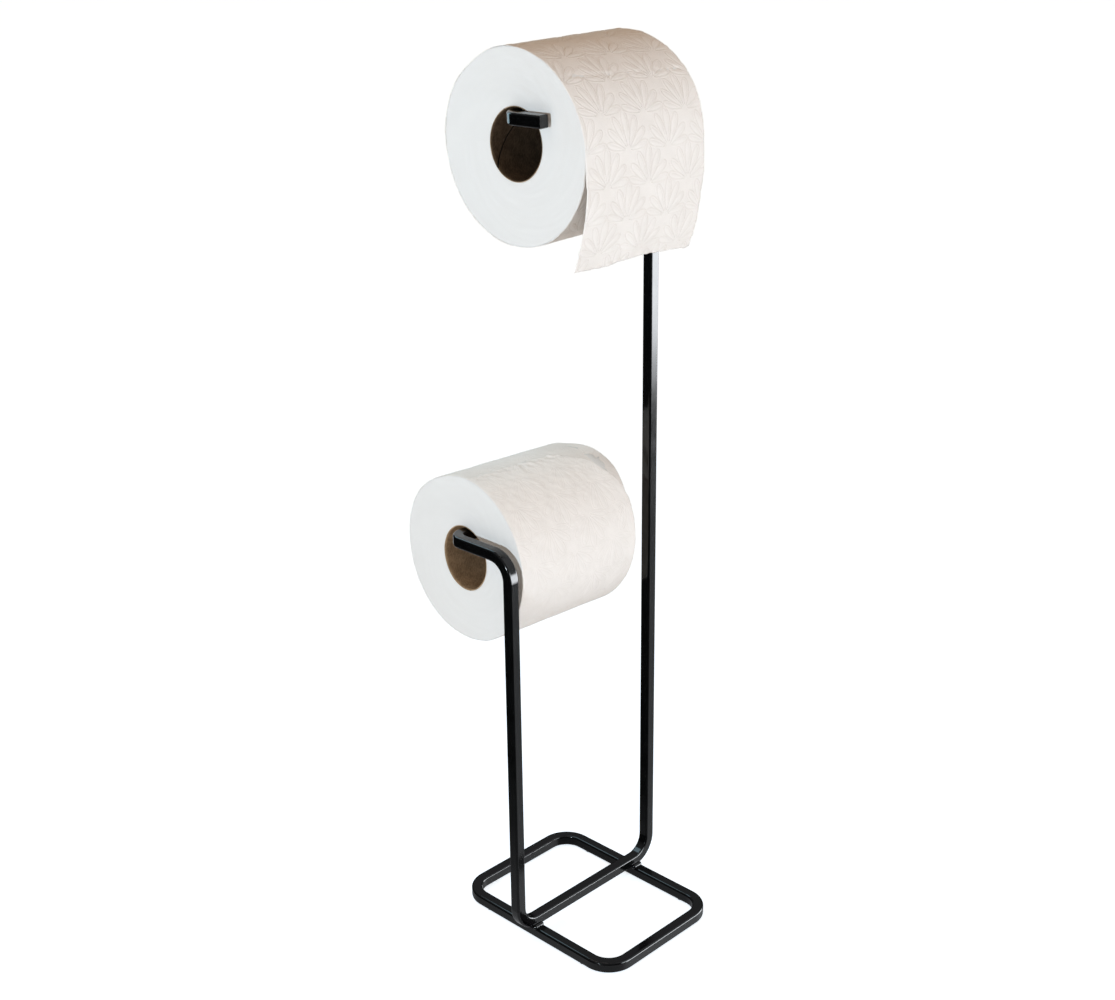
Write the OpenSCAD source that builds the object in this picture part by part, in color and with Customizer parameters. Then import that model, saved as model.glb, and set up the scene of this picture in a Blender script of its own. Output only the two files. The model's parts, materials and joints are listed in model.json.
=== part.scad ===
// Free-standing toilet roll holder, carrying one roll in use and one spare.
// A rectangular loop of square steel bar lies on the floor. One long bar, bent six times, crosses
// the loop and rises at both ends: the short front upright ends in the arm for the spare roll,
// and the tall rear upright ends in the upper arm, whose tip turns aside to keep the roll on.
// Origin: on the floor, under the middle of the loop. +X runs from the front upright to the rear
// one, +Y points to the side of the spare roll, and +Z is up.

/* [Bar] */
// Width across the flats of the square bar
bar_w = 8; // [6:0.5:10]
// Radius along the bar's four long edges
bar_edge_r = 1.5; // [0.8:0.1:2]
// Chamfer round the bar's two cut ends
end_chamfer = 0.6; // [0.3:0.1:1]

/* [Base loop] */
// Outside size of the loop along X
loop_x = 114; // [100:1:130]
// Outside size of the loop along Y
loop_y = 153; // [140:1:180]
// Bend radius of the loop's corners, at the bar's centre
loop_bend_r = 17.5; // [14:0.5:24]
// Thickness of the protective pads under the loop
pad_h = 1; // [0.5:0.1:2]
// Diameter of a pad
pad_d = 5; // [4:0.1:5]
// Distance of the pads from the loop's middle, along Y
pad_y = 47; // [30:1:50]

/* [Spine bar] */
// Distance between the two uprights, centre to centre
upright_span = 137; // [130:1:150]
// How far the spine bar lies from the loop's middle, towards the spare roll
spine_y = 1.5; // [0:0.5:4]
// Bend radius at the foot and the top of the uprights, at the bar's centre
bend_r = 16; // [14:0.5:20]
// Bend radius of the tight turns next to the rolls, at the bar's centre
elbow_r = 9; // [8:0.5:10]
// Radius of the weld beads where the spine bar crosses the loop
weld_r = 2.2; // [1.8:0.1:2.6]

/* [Lower arm] */
// Height of the lower arm's centre line above the floor, where it leaves the front upright
low_arm_z = 297.5; // [280:0.5:330]
// How far from the loop's middle the lower arm starts, along Y
low_arm_y = 57; // [50:0.5:65]
// Length of the lower arm
low_arm_len = 126; // [118:1:128]
// Angle by which the lower arm runs inwards, towards the rear upright
low_skew = 2; // [0:0.5:4]
// Fall of the lower arm towards its free end, in degrees
low_droop = 0.9; // [0:0.1:4]

/* [Upper arm] */
// Height of the upper arm's centre line above the floor, at the rear upright
top_arm_z = 585.8; // [540:0.1:640]
// Fall of the upper arm towards its free end, in degrees
top_droop = 2.3; // [0:0.1:4]
// Distance of the turned-aside tip from the loop's middle along X
tip_x = 62.5; // [60:0.5:66]
// How far the tip reaches sideways from the upper arm's centre
tip_reach = 31; // [24:0.5:36]

/* [Rolls] */
// Width of the paper rolls
roll_w = 107; // [96:1:108]
// Outside radius of the roll in use
top_roll_r = 60.4; // [50:0.1:61]
// Outside radius of the spare roll
low_roll_r = 59.2; // [50:0.1:60]
// Inside radius of the cardboard cores
core_bore_r = 21.6; // [21.6:0.1:23]
// Thickness of one of the core's two plies
ply_t = 0.4; // [0.3:0.05:0.6]
// Height of an arm's top face above the axis of the roll that hangs on it
hang = 21; // [18:0.1:21]
// Distance along the upper arm from its turned-aside tip to the roll, centre to face
top_roll_gap = 6.2; // [6:0.1:8]
// Distance along the lower arm from the front upright to the roll, centre to face
low_roll_gap = 10.4; // [10:0.1:12]
// Sideways and upward shift of the slumped winding of the roll in use from its core
top_slump = [2.8, -2.8]; // [-4:0.1:4]
// Sideways and upward shift of the slumped winding of the spare roll from its core
low_slump = [1, -0.7]; // [-4:0.1:4]

/* [Paper] */
// Thickness of the loose outer paper
sheet_t = 0.5; // [0.3:0.1:0.8]
// Angle round the roll from the last line of perforations to where the paper leaves it
last_sheet_arc = 44; // [30:1:80]
// Length of paper that hangs straight down from the roll
hang_straight = 14; // [10:1:40]
// Angle below that point at which the layer underneath comes up behind the hanging paper
lap_start_arc = 5; // [4:0.5:8]
// Radius of the curl below the straight stretch
curl_r = 125; // [100:5:300]
// Angle of the curl, in degrees
curl_arc = 26; // [5:0.5:30]

/* [Hidden] */
$fn = 96;

bar_black = [0.03, 0.03, 0.035];
weld_black = [0.05, 0.05, 0.055];
pad_grey = [0.25, 0.25, 0.25];
card_brown = [0.42, 0.33, 0.22];
card_tan = [0.62, 0.52, 0.38];
paper_white = [0.93, 0.93, 0.91];
sheet_white = [0.95, 0.94, 0.92];

// A little overlap for cuts that have to break a surface
cut = 1;
// Bends are a hair thicker than the straight stretches, which run a little way into them, so that
// no gap is left where the two meet at an odd angle
bend_swell = 0.005;
bend_lap = 0.02;
half_bar = bar_w / 2;
loop_z = pad_h + half_bar;
cross_z = pad_h + 1.5 * bar_w;
half_span = upright_span / 2;
side_x = (loop_x - bar_w) / 2;
side_y = (loop_y - bar_w) / 2;
pad_places = [for (sx = [-1, 1], sy = [-1, 1]) [sx * side_x, sy * pad_y]];

// Bends that turn past the square have longer tangents
crown_turn = 90 + top_droop;
crown_tangent = bend_r * tan(crown_turn / 2);
low_elbow_turn = 90 + low_skew;
low_elbow_tangent = elbow_r * tan(low_elbow_turn / 2);
top_arm_run = (half_span + tip_x) / cos(top_droop);

// The spine bar's bends, in order, from the middle of the stretch that crosses the loop to each
// end: straight length before the bend, turn of the bending plane, angle of the bend, its radius
FRONT_BENDS = [
    [half_span - bend_r, 0, 90, bend_r],
    [low_arm_z - cross_z - 2 * bend_r, 90, 90, bend_r],
    [low_arm_y - spine_y - bend_r - low_elbow_tangent, low_droop - 90, low_elbow_turn, elbow_r],
    [low_arm_len - low_elbow_tangent, 0, 0, 0]
];
REAR_BENDS = [
    [half_span - bend_r, 0, 90, bend_r],
    [top_arm_z - cross_z - bend_r - crown_tangent, 0, crown_turn, bend_r],
    [top_arm_run - crown_tangent - elbow_r, 90, 90, elbow_r],
    [tip_reach - elbow_r, 0, 0, 0]
];

core_r = core_bore_r + 2 * ply_t;
axis_below_arm = hang - half_bar;
// Corners of the bar's centre line where the two arms start and end
low_elbow_at = [-half_span, low_arm_y, low_arm_z];
top_elbow_at = [-tip_x, spine_y, top_arm_z - top_arm_run * sin(top_droop)];
// A slice that is sure to reach past the roll
slice_r = 2 * top_roll_r;

// Section of the bar, square with rounded corners
module bar_section(swell = 0) {
    inner = bar_w - 2 * bar_edge_r;
    corner = inner / 2;
    outer = bar_w + 2 * swell;
    square([outer, inner], center = true);
    square([inner, outer], center = true);
    for (sx = [-1, 1], sy = [-1, 1])
        translate([sx * corner, sy * corner])
            circle(r = bar_edge_r + swell);
}

// Straight stretch of bar from the origin along +Z, with its laps
module bar_straight(length) {
    translate([0, 0, -bend_lap])
        linear_extrude(length + 2 * bend_lap)
            bar_section();
}

// Bend that starts at the origin along +Z and curves towards +X
module bar_bend(angle, radius) {
    translate([radius, 0, 0])
        rotate([90, 0, 180])
            rotate_extrude(angle = angle)
                translate([radius, 0])
                    bar_section(bend_swell);
}

// What the chamfer takes off a bar that ends at the origin and lies below it
module end_chamfer_cut() {
    for (turn = [0, 90, 180, 270])
        rotate([0, 0, turn])
            translate([half_bar, 0, -end_chamfer])
                rotate([0, -45, 0])
                    translate([0, -bar_w, 0])
                        cube([bar_w, 2 * bar_w, bar_w]);
}

// Straight stretch with a chamfered end
module bar_end(length) {
    difference() {
        bar_straight(length - bend_lap);
        translate([0, 0, length])
            end_chamfer_cut();
    }
}

// Bar that follows a list of bends, from row i to the last one, which has no bend
module bent_bar(bends, i = 0) {
    length = bends[i][0];
    angle = bends[i][2];
    radius = bends[i][3];
    if (i == len(bends) - 1) {
        bar_end(length);
    } else {
        bar_straight(length);
        translate([0, 0, length])
            rotate([0, 0, bends[i][1]]) {
                bar_bend(angle, radius);
                translate([radius * (1 - cos(angle)), 0, radius * sin(angle)])
                    rotate([0, angle, 0])
                        bent_bar(bends, i + 1);
            }
    }
}

// Loop of bar on its pads
module base_loop() {
    straight_x = 2 * (side_x - loop_bend_r);
    straight_y = 2 * (side_y - loop_bend_r);
    color(bar_black)
        for (turn = [0, 180])
            rotate([0, 0, turn])
                translate([0, 0, loop_z]) {
                    translate([side_x, -straight_y / 2, 0])
                        rotate([-90, 0, 0])
                            bar_straight(straight_y);
                    translate([-straight_x / 2, side_y, 0])
                        rotate([0, 90, 0])
                            bar_straight(straight_x);
                    for (end = [0, 1])
                        mirror([0, end, 0])
                            translate([side_x - loop_bend_r, side_y - loop_bend_r, 0])
                                rotate_extrude(angle = 90)
                                    translate([loop_bend_r, 0])
                                        bar_section(bend_swell);
                }
}

module spine_bar() {
    color(bar_black)
        translate([0, spine_y, cross_z]) {
            rotate([0, -90, 0])
                bent_bar(FRONT_BENDS);
            rotate([0, 0, 180])
                rotate([0, -90, 0])
                    bent_bar(REAR_BENDS);
        }
}

// Two beads in the corners between the spine bar's flanks and the top of the loop
module weld(x) {
    half_bead = half_bar - bar_edge_r;
    reach = 2 * bar_w;
    color(weld_black)
        difference() {
            for (side = [-1, 1])
                translate([x, spine_y + side * half_bar, pad_h + bar_w]) {
                    rotate([0, 90, 0])
                        cylinder(r = weld_r, h = 2 * half_bead, center = true);
                    for (end = [-1, 1])
                        translate([end * half_bead, 0, 0])
                            sphere(r = weld_r);
                }
            translate([x, spine_y - reach / 2, loop_z])
                rotate([-90, 0, 0])
                    bar_straight(reach);
            translate([x - reach / 2, spine_y, cross_z])
                rotate([0, 90, 0])
                    bar_straight(reach);
        }
}

module front_weld() {
    weld(-side_x);
}

module rear_weld() {
    weld(side_x);
}

// Protective pad on the flat underside of the loop
module floor_pad(i) {
    color(pad_grey)
        translate([pad_places[i][0], pad_places[i][1], 0])
            cylinder(d = pad_d, h = pad_h);
}

// Hangs a roll's pieces under an arm. They are drawn as seen from the front, with Y across
// and Z up the page, and with the core's axis at the origin.
module hung_on_arm(elbow, skew, droop, gap) {
    translate(elbow)
        rotate([0, droop, -skew])
            translate([gap, 0, -axis_below_arm])
                rotate([90, 0, 90])
                    children();
}

module on_top_arm() {
    hung_on_arm(top_elbow_at, 0, -top_droop, top_roll_gap)
        children();
}

module on_low_arm() {
    hung_on_arm(low_elbow_at, low_skew, low_droop, low_roll_gap)
        children();
}

// Tube of one ply of cardboard, counted from the inside
module core_ply(number) {
    inner_r = core_bore_r + number * ply_t;
    linear_extrude(roll_w)
        difference() {
            circle(r = inner_r + ply_t);
            circle(r = inner_r);
        }
}

// The wound paper, with the core's hole through it
module winding(outer_r, slump) {
    linear_extrude(roll_w)
        difference() {
            translate(slump)
                circle(r = outer_r - sheet_t);
            circle(r = core_r);
        }
}

// Outermost turn of paper
module lap_section(outer_r) {
    difference() {
        circle(r = outer_r);
        circle(r = outer_r - sheet_t);
    }
}

// The part of the page that the last sheet takes, from where the paper leaves the roll
// on the left and up towards the top. It can reach a few degrees below that point.
module last_sheet_slice(below = 0) {
    polygon([
        [0, 0],
        [-slice_r, -slice_r * tan(below)],
        [-slice_r, slice_r * tan(last_sheet_arc)]
    ]);
}

// The stretch of paper that hangs straight down
module hanging_stretch() {
    translate([-top_roll_r, -hang_straight])
        square([sheet_t, hang_straight]);
}

module top_core_inner_ply() {
    color(card_brown)
        on_top_arm()
            core_ply(0);
}

module top_core_outer_ply() {
    color(card_tan)
        on_top_arm()
            core_ply(1);
}

module top_winding() {
    color(paper_white)
        on_top_arm()
            winding(top_roll_r, top_slump);
}

module top_outer_lap() {
    color(sheet_white)
        on_top_arm()
            linear_extrude(roll_w)
                translate(top_slump)
                    difference() {
                        lap_section(top_roll_r);
                        last_sheet_slice(lap_start_arc);
                        hanging_stretch();
                    }
}

// Last sheet: it lies on the roll as far as its side, hangs down and curls back under it
module top_last_sheet() {
    color(sheet_white)
        on_top_arm()
            linear_extrude(roll_w)
                translate(top_slump) {
                    intersection() {
                        lap_section(top_roll_r);
                        last_sheet_slice();
                    }
                    hanging_stretch();
                    translate([curl_r - top_roll_r, -hang_straight])
                        intersection() {
                            difference() {
                                circle(r = curl_r, $fn = 720);
                                circle(r = curl_r - sheet_t, $fn = 720);
                            }
                            polygon([
                                [0, 0],
                                [-curl_r - cut, 0],
                                [-curl_r - cut, -(curl_r + cut) * tan(curl_arc)]
                            ]);
                        }
                }
}

module low_core_inner_ply() {
    color(card_brown)
        on_low_arm()
            core_ply(0);
}

module low_core_outer_ply() {
    color(card_tan)
        on_low_arm()
            core_ply(1);
}

module low_winding() {
    color(paper_white)
        on_low_arm()
            winding(low_roll_r, low_slump);
}

module low_outer_lap() {
    color(sheet_white)
        on_low_arm()
            linear_extrude(roll_w)
                translate(low_slump)
                    lap_section(low_roll_r);
}

base_loop();
spine_bar();
front_weld();
rear_weld();
floor_pad(0);  // floor_pad_1
floor_pad(1);  // floor_pad_2
floor_pad(2);  // floor_pad_3
floor_pad(3);  // floor_pad_4
top_core_inner_ply();
top_core_outer_ply();
top_winding();
top_outer_lap();
top_last_sheet();
low_core_inner_ply();
low_core_outer_ply();
low_winding();
low_outer_lap();
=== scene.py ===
import json
import math

import bpy
import numpy as np
from bpy.props import FloatProperty, FloatVectorProperty, IntProperty, PointerProperty
from mathutils import Matrix, Vector


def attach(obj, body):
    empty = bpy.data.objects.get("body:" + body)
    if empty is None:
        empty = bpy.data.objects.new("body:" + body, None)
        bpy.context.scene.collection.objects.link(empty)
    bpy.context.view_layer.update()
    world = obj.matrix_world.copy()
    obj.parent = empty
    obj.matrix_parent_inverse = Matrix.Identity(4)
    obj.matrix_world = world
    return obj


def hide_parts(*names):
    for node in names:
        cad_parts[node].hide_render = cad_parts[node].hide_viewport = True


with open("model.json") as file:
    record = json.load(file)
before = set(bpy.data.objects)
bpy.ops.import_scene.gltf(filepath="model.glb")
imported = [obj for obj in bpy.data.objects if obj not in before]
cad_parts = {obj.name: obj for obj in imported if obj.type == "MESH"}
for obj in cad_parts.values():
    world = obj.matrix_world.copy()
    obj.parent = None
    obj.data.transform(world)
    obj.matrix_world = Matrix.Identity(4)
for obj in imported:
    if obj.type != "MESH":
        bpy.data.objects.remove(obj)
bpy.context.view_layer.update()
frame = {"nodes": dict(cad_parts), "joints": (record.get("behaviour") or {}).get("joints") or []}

bl_info = {
    "name": "Toilet roll holder with two rolls",
    "version": (1, 0, 0),
    "blender": (4, 5, 0),
    "location": "View3D > Sidebar > Roll holder",
    "description": "Dresses a bent-bar toilet roll holder and winds its two paper rolls",
    "category": "Object",
}

MM = 0.001
FULL_TURN = 2 * math.pi
BAR_NODES = ("base_loop", "spine_bar")
WELD_NODES = ("front_weld", "rear_weld")
PAD_NODES = ("floor_pad_1", "floor_pad_2", "floor_pad_3", "floor_pad_4")


# Sizes and finishes that a user may change --------

def length_mm(name, description, default, low, high):
    return FloatProperty(name=name, description=description, default=default,
                         min=low, max=high, precision=2)


def colour(name, description, default):
    return FloatVectorProperty(name=name, description=description, default=default,
                               min=0, max=1, size=3, subtype="COLOR")


def share(name, description, default, high=1.0):
    return FloatProperty(name=name, description=description, default=default,
                         min=0, max=high, subtype="FACTOR")


def level(name, description, default, low=0.0, unit="NONE"):
    return FloatProperty(name=name, description=description, default=default,
                         min=low, unit=unit)


class HolderBarFinish(bpy.types.PropertyGroup):
    coat_colour: colour("Coat colour", "Colour of the black powder coat",
                        (0.0020, 0.0022, 0.0024))
    weld_colour: colour("Weld colour", "Colour of the coat on the weld beads",
                        (0.0018, 0.002, 0.0022))
    pad_colour: colour("Pad colour", "Colour of the rubber pads", (0.03, 0.03, 0.03))
    roughness: share("Roughness", "Mean roughness of the coat", 0.11)
    grain: length_mm("Grain", "Size of the coat's orange peel, in mm", 1.1, 0.3, 4)
    peel: share("Orange peel", "Strength of the coat's orange peel", 0.04)


class HolderPaper(bpy.types.PropertyGroup):
    tissue: colour("Tissue colour", "Colour of the outer tissue", (0.90, 0.885, 0.87))
    cut_face: colour("Cut face colour", "Colour of the rolls' cut faces", (0.87, 0.89, 0.90))
    thickness: length_mm("Tissue thickness", "Thickness of the outer tissue, in mm",
                         0.25, 0.15, 0.6)
    fan_repeat: length_mm("Fan repeat", "Distance between two fans in a row, in mm",
                          36.5, 20, 60)
    fan_row: length_mm("Fan row", "Distance between two rows of fans, in mm", 21.3, 12, 40)
    fan_reach: length_mm("Fan reach", "Length of a fan's middle petal, in mm", 23.6, 8, 30)
    petal_plump: share("Petal plumpness", "Half a petal's width as a share of its length",
                       0.116, 0.3)
    fan_relief: length_mm("Fan relief", "Height of the embossed petals, in mm", 0.28, 0, 1)
    seed: IntProperty(name="Seed", description="Seed of the paper's small irregularities",
                      default=7, min=0)


class HolderCores(bpy.types.PropertyGroup):
    top_dark: colour("Top core, dark", "Dark fibres in the upper roll's core",
                     (0.055, 0.035, 0.02))
    top_light: colour("Top core, light", "Light fibres in the upper roll's core",
                      (0.13, 0.088, 0.055))
    low_dark: colour("Lower core, dark", "Dark fibres in the lower roll's core",
                     (0.23, 0.15, 0.085))
    low_light: colour("Lower core, light", "Light fibres in the lower roll's core",
                      (0.44, 0.3, 0.18))
    rim: colour("Rim", "Colour of the outer ply, seen at the rim", (0.62, 0.49, 0.36))
    ply: length_mm("Ply", "Thickness of one ply of card, in mm", 0.4, 0.2, 0.8)
    seam: length_mm("Seam", "Width of the gap in the inner ply, in mm", 0.9, 0.2, 2)
    lead: length_mm("Lead", "Length of core that the seam takes for one turn, in mm",
                    110, 40, 160)


class HolderStudio(bpy.types.PropertyGroup):
    key_watts: level("Key", "Power of the small cool light left of the camera", 14.4,
                     unit="POWER")
    side_watts: level("Side", "Power of the large light on the right", 26.5, unit="POWER")
    back_watts: level("Back", "Power of the light behind the spare roll", 0.8, unit="POWER")
    room: level("Room", "Strength of the room's warm light from above", 0.54)
    window: level("Window", "Strength of the window that the bars mirror", 14.0)
    room_colour: colour("Room colour", "Colour of the room's light from above",
                        (1.0, 0.72, 0.5))
    lens: level("Lens", "Focal length of the camera, in mm", 52.34, low=1)


# Curves and noise --------

def between(first, second, part):
    return first + (second - first) * part


def smooth(low, high, value):
    t = np.clip((value - low) / (high - low), 0, 1)
    return t * t * (3 - 2 * t)


def hump(value, middle, spread):
    """A rounded hump of height one."""
    return np.exp(-((value - middle) / spread) ** 2)


def degrees_from(angle, at):
    """How far an angle in radians lies from one in degrees, the short way, in degrees."""
    return (np.degrees(angle) - at + 180) % 360 - 180


def triples(x, y, z):
    return np.stack(np.broadcast_arrays(x, y, z), axis=-1)


RIPPLE_HEIGHT = 0.6


def ripples(rng, count, shortest, longest):
    """A smooth random height of two coordinates, of about plus or minus one."""
    size = np.exp(rng.uniform(math.log(shortest), math.log(longest), count))
    heading, phase = rng.uniform(0, FULL_TURN, count), rng.uniform(0, FULL_TURN, count)
    height = np.sqrt(size)
    height /= math.sqrt((height ** 2).sum() / 2)

    def at(a, b):
        total = 0.0
        for s, h, p, k in zip(size, heading, phase, height):
            total = total + k * np.sin(FULL_TURN / s * (a * math.cos(h) + b * math.sin(h)) + p)
        return total * RIPPLE_HEIGHT
    return at


# Rolls --------

class Roll:
    """One roll as it hangs: x runs along the core from the near face, y across and z up.

    The hole has a long and a short half width and a tilt. A dent has an angle and a spread,
    and its height at the near and the far face. Angles are in degrees.
    """

    def __init__(self, joint, centre, radius, width, hole, dents):
        found = next(j for j in frame["joints"] if j["name"] == joint)
        self.start = np.array(found["pos_m"])
        along = Vector(found["axis"]).normalized()
        across = Vector((0, 0, 1)).cross(along).normalized()
        self.axes = np.array([along, across, along.cross(across)])
        self.centre = centre
        self.radius = radius
        self.width = width
        self.hole = hole
        self.dents = dents

    def in_row(self, x, y, z):
        """Points from the roll's own millimetres to the row frame's metres."""
        return self.start + MM * (triples(x, y, z) @ self.axes)

    def direction(self, x, y, z):
        return triples(x, y, z) @ self.axes

    def outside(self, angle, x):
        """Outer radius about the winding's own centre: dented, and different at both ends."""
        radius = self.radius
        far = np.clip(x / self.width, 0, 1)
        for at, spread, near_mm, far_mm in self.dents:
            radius = radius + (hump(degrees_from(angle, at), 0, spread)
                               * between(near_mm, far_mm, far))
        return radius

    def bore(self, angle):
        """Radius of the core's slightly oval bore about the core's axis."""
        long_mm, short_mm, tilt = self.hole
        turned = angle - math.radians(tilt)
        return (long_mm * short_mm
                / np.hypot(short_mm * np.cos(turned), long_mm * np.sin(turned)))


TOP_ROLL = Roll("top_roll_spin", centre=(2.8, -2.8), radius=60.4, width=107.0,
                hole=(22.8, 21.3, 129.5),
                dents=((56, 16, -1.3, -0.6), (112, 34, 0.0, -1.9)))
LOW_ROLL = Roll("low_roll_spin", centre=(1.0, -0.7), radius=59.2, width=107.0,
                hole=(22.6, 21.3, 97.0),
                dents=((30, 26, 1.5, 0.4), (74, 18, -0.6, -0.2), (-85, 30, -0.8, 0.0),
                       (-140, 24, 0.0, -1.0)))


# Embossed fans: the paper's relief uses them here, and its material in one_fan_group --------

PETAL_TURN = math.radians(25.5)
PETALS_ASIDE = 3
PETAL_SHORTER = 0.075
PAST_TIP = 1.3
LEAST_SLOPE = 0.05
# Between these distances from a fan's foot its petals fade out, by this much
BARE_STALK = (1.5, 4.5)
BARE_BY = 1.5
# Distances from a petal's outline where its height begins and where it is full
PETAL_FOOT, PETAL_FULL = 0.1, -1.1
# The pressed line round a petal
LINE_AT, LINE_SPREAD, LINE_DEPTH = 0.25, 0.4, 0.35


def one_fan(side, up, paper):
    """Distance to the nearest petal's outline, negative inside, of a fan that opens upwards."""
    turn = np.arctan2(side, up)
    petal = np.clip(np.round(turn / PETAL_TURN), -PETALS_ASIDE, PETALS_ASIDE)
    turn = turn - petal * PETAL_TURN
    reach = np.hypot(side, up)
    length = paper.fan_reach * (1 - PETAL_SHORTER * np.abs(petal))
    part, off = np.clip(reach * np.cos(turn) / length, 0, PAST_TIP), reach * np.sin(turn)
    belly = 4 * (paper.petal_plump * length) ** 2
    inside = belly * part ** 2 * (1 - part ** 2) - off ** 2
    slope = np.hypot(2 * belly * part * (1 - 2 * part ** 2) / length, 2 * off)
    bare = BARE_BY * smooth(BARE_STALK[1], BARE_STALK[0], reach)
    return -inside / (slope + LEAST_SLOPE) + bare


def fan_field(along, across, paper):
    """Distance to the nearest petal of rows of fans, each row moved by half a fan."""
    row = np.floor(along / paper.fan_row)
    half = paper.fan_repeat / 2
    nearest = np.inf
    for below in (0, 1):
        shift = np.mod(row - below, 2) * paper.fan_repeat / 2
        side = np.mod(across - shift + half, paper.fan_repeat) - half
        up = along - (row - below) * paper.fan_row
        nearest = np.minimum(nearest, one_fan(side, up, paper))
    return nearest


def relief(along, across, paper):
    field = fan_field(along, across, paper)
    raised = smooth(PETAL_FOOT, PETAL_FULL, field)
    return paper.fan_relief * (raised - LINE_DEPTH * hump(field, LINE_AT, LINE_SPREAD))


# Meshes --------

def make_piece(name, points, faces, place=None):
    """A smooth mesh; place holds where each point lies on its material, in millimetres."""
    mesh = bpy.data.meshes.new(name)
    mesh.from_pydata(points.reshape(-1, 3).tolist(), [], faces.tolist())
    if place is not None:
        made = mesh.attributes.new("place", "FLOAT_VECTOR", "POINT")
        made.data.foreach_set("vector", place.reshape(-1).astype(np.float32))
    mesh.polygons.foreach_set("use_smooth", [True] * len(mesh.polygons))
    mesh.update()
    piece = bpy.data.objects.new(name, mesh)
    bpy.context.scene.collection.objects.link(piece)
    return piece


def quads(numbers):
    """Faces between the neighbours of a grid of point numbers."""
    corners = (numbers[:-1, :-1], numbers[1:, :-1], numbers[1:, 1:], numbers[:-1, 1:])
    return np.stack(corners, axis=-1).reshape(-1, 4)


def ring_piece(name, points, place):
    """A closed shape whose grid of points meets itself both ways."""
    rows, columns = points.shape[:2]
    numbers = np.arange(rows * columns).reshape(rows, columns)
    numbers = np.concatenate([numbers, numbers[:1]], axis=0)
    numbers = np.concatenate([numbers, numbers[:, :1]], axis=1)
    return make_piece(name, points, quads(numbers), place)


def sheet_piece(name, points, normals, thickness, place):
    """Paper of an even thickness, with its embossed side at the points."""
    rows, columns = points.shape[:2]
    front = np.arange(rows * columns).reshape(rows, columns)
    back = front + rows * columns
    rim_front = np.concatenate([front[:-1, 0], front[-1, :-1], front[:0:-1, -1],
                                front[0, :0:-1]])
    rim_back = rim_front + rows * columns
    rim = np.stack([np.append(rim_front, rim_front[0]), np.append(rim_back, rim_back[0])])
    faces = np.concatenate([quads(front), quads(back)[:, ::-1], quads(rim)])
    behind = points - thickness * normals
    both = np.concatenate([points.reshape(-1, 3), behind.reshape(-1, 3)])
    return make_piece(name, both, faces, np.concatenate([place.reshape(-1, 3)] * 2))


def finish_piece(piece, body, slot, material, *nodes):
    piece.data.materials.append(material)
    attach(piece, body)
    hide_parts(*nodes)


# Shader groups and materials --------

class Wiring:
    """Adds nodes to a tree; a number, a colour or another node's output can feed an input."""

    def __init__(self, tree):
        self.tree = tree

    def feed(self, socket, value):
        if isinstance(value, bpy.types.NodeSocket):
            self.tree.links.new(value, socket)
        else:
            socket.default_value = value

    def node(self, kind, inputs=None, **settings):
        made = self.tree.nodes.new("ShaderNode" + kind)
        for key, value in settings.items():
            setattr(made, key, value)
        for key, value in (inputs or {}).items():
            self.feed(made.inputs[key], value)
        return made

    def math(self, operation, *values):
        made = self.node("Math", operation=operation)
        for socket, value in zip(made.inputs, values):
            self.feed(socket, value)
        return made.outputs[0]

    def plus(self, first, second):
        return self.math("ADD", first, second)

    def minus(self, first, second):
        return self.math("SUBTRACT", first, second)

    def times(self, first, second):
        return self.math("MULTIPLY", first, second)

    def over(self, first, second):
        return self.math("DIVIDE", first, second)

    def long_side(self, first, second):
        """The long side of the right triangle with these two short ones."""
        return self.math("SQRT", self.plus(self.times(first, first),
                                           self.times(second, second)))

    def ramp(self, value, low, high, to_low=0.0, to_high=1.0):
        made = self.node("MapRange", {"Value": value, "From Min": low, "From Max": high,
                                      "To Min": to_low, "To Max": to_high},
                         interpolation_type="SMOOTHSTEP")
        return made.outputs["Result"]

    def blend(self, amount, first, second):
        made = self.node("Mix", data_type="RGBA")
        for number, value in ((0, amount), (6, first), (7, second)):
            self.feed(made.inputs[number], value)
        return made.outputs[2]

    def scaled(self, vector, factor):
        made = self.node("VectorMath", {0: vector, "Scale": factor}, operation="SCALE")
        return made.outputs[0]

    def stretched(self, vector, factors):
        made = self.node("VectorMath", {0: vector, 1: factors}, operation="MULTIPLY")
        return made.outputs[0]

    def split(self, vector):
        return self.node("SeparateXYZ", {"Vector": vector}).outputs

    def noise(self, place, scale, detail=2.0, roughness=0.5):
        made = self.node("TexNoise", {"Vector": place, "Scale": scale, "Detail": detail,
                                      "Roughness": roughness})
        return made.outputs[0]

    def group(self, tree, inputs):
        return self.node("Group", inputs, node_tree=tree).outputs


def tone(rgb, by=1.0):
    return (*(c * by for c in rgb), 1.0)


FLOAT, VECTOR, COLOUR = ("Float", None), ("Vector", None), ("Color", None)


def new_group(name, inputs, outputs):
    """An empty shader group with its sockets, and the wiring to fill it with."""
    tree = bpy.data.node_groups.new(name, "ShaderNodeTree")
    for in_out, sockets in (("INPUT", inputs), ("OUTPUT", outputs)):
        for key, (kind, default) in sockets.items():
            made = tree.interface.new_socket(key, in_out=in_out,
                                             socket_type="NodeSocket" + kind)
            if default is not None:
                made.default_value = default
    start, end = tree.nodes.new("NodeGroupInput"), tree.nodes.new("NodeGroupOutput")
    return tree, Wiring(tree), start.outputs, end.inputs


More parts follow.
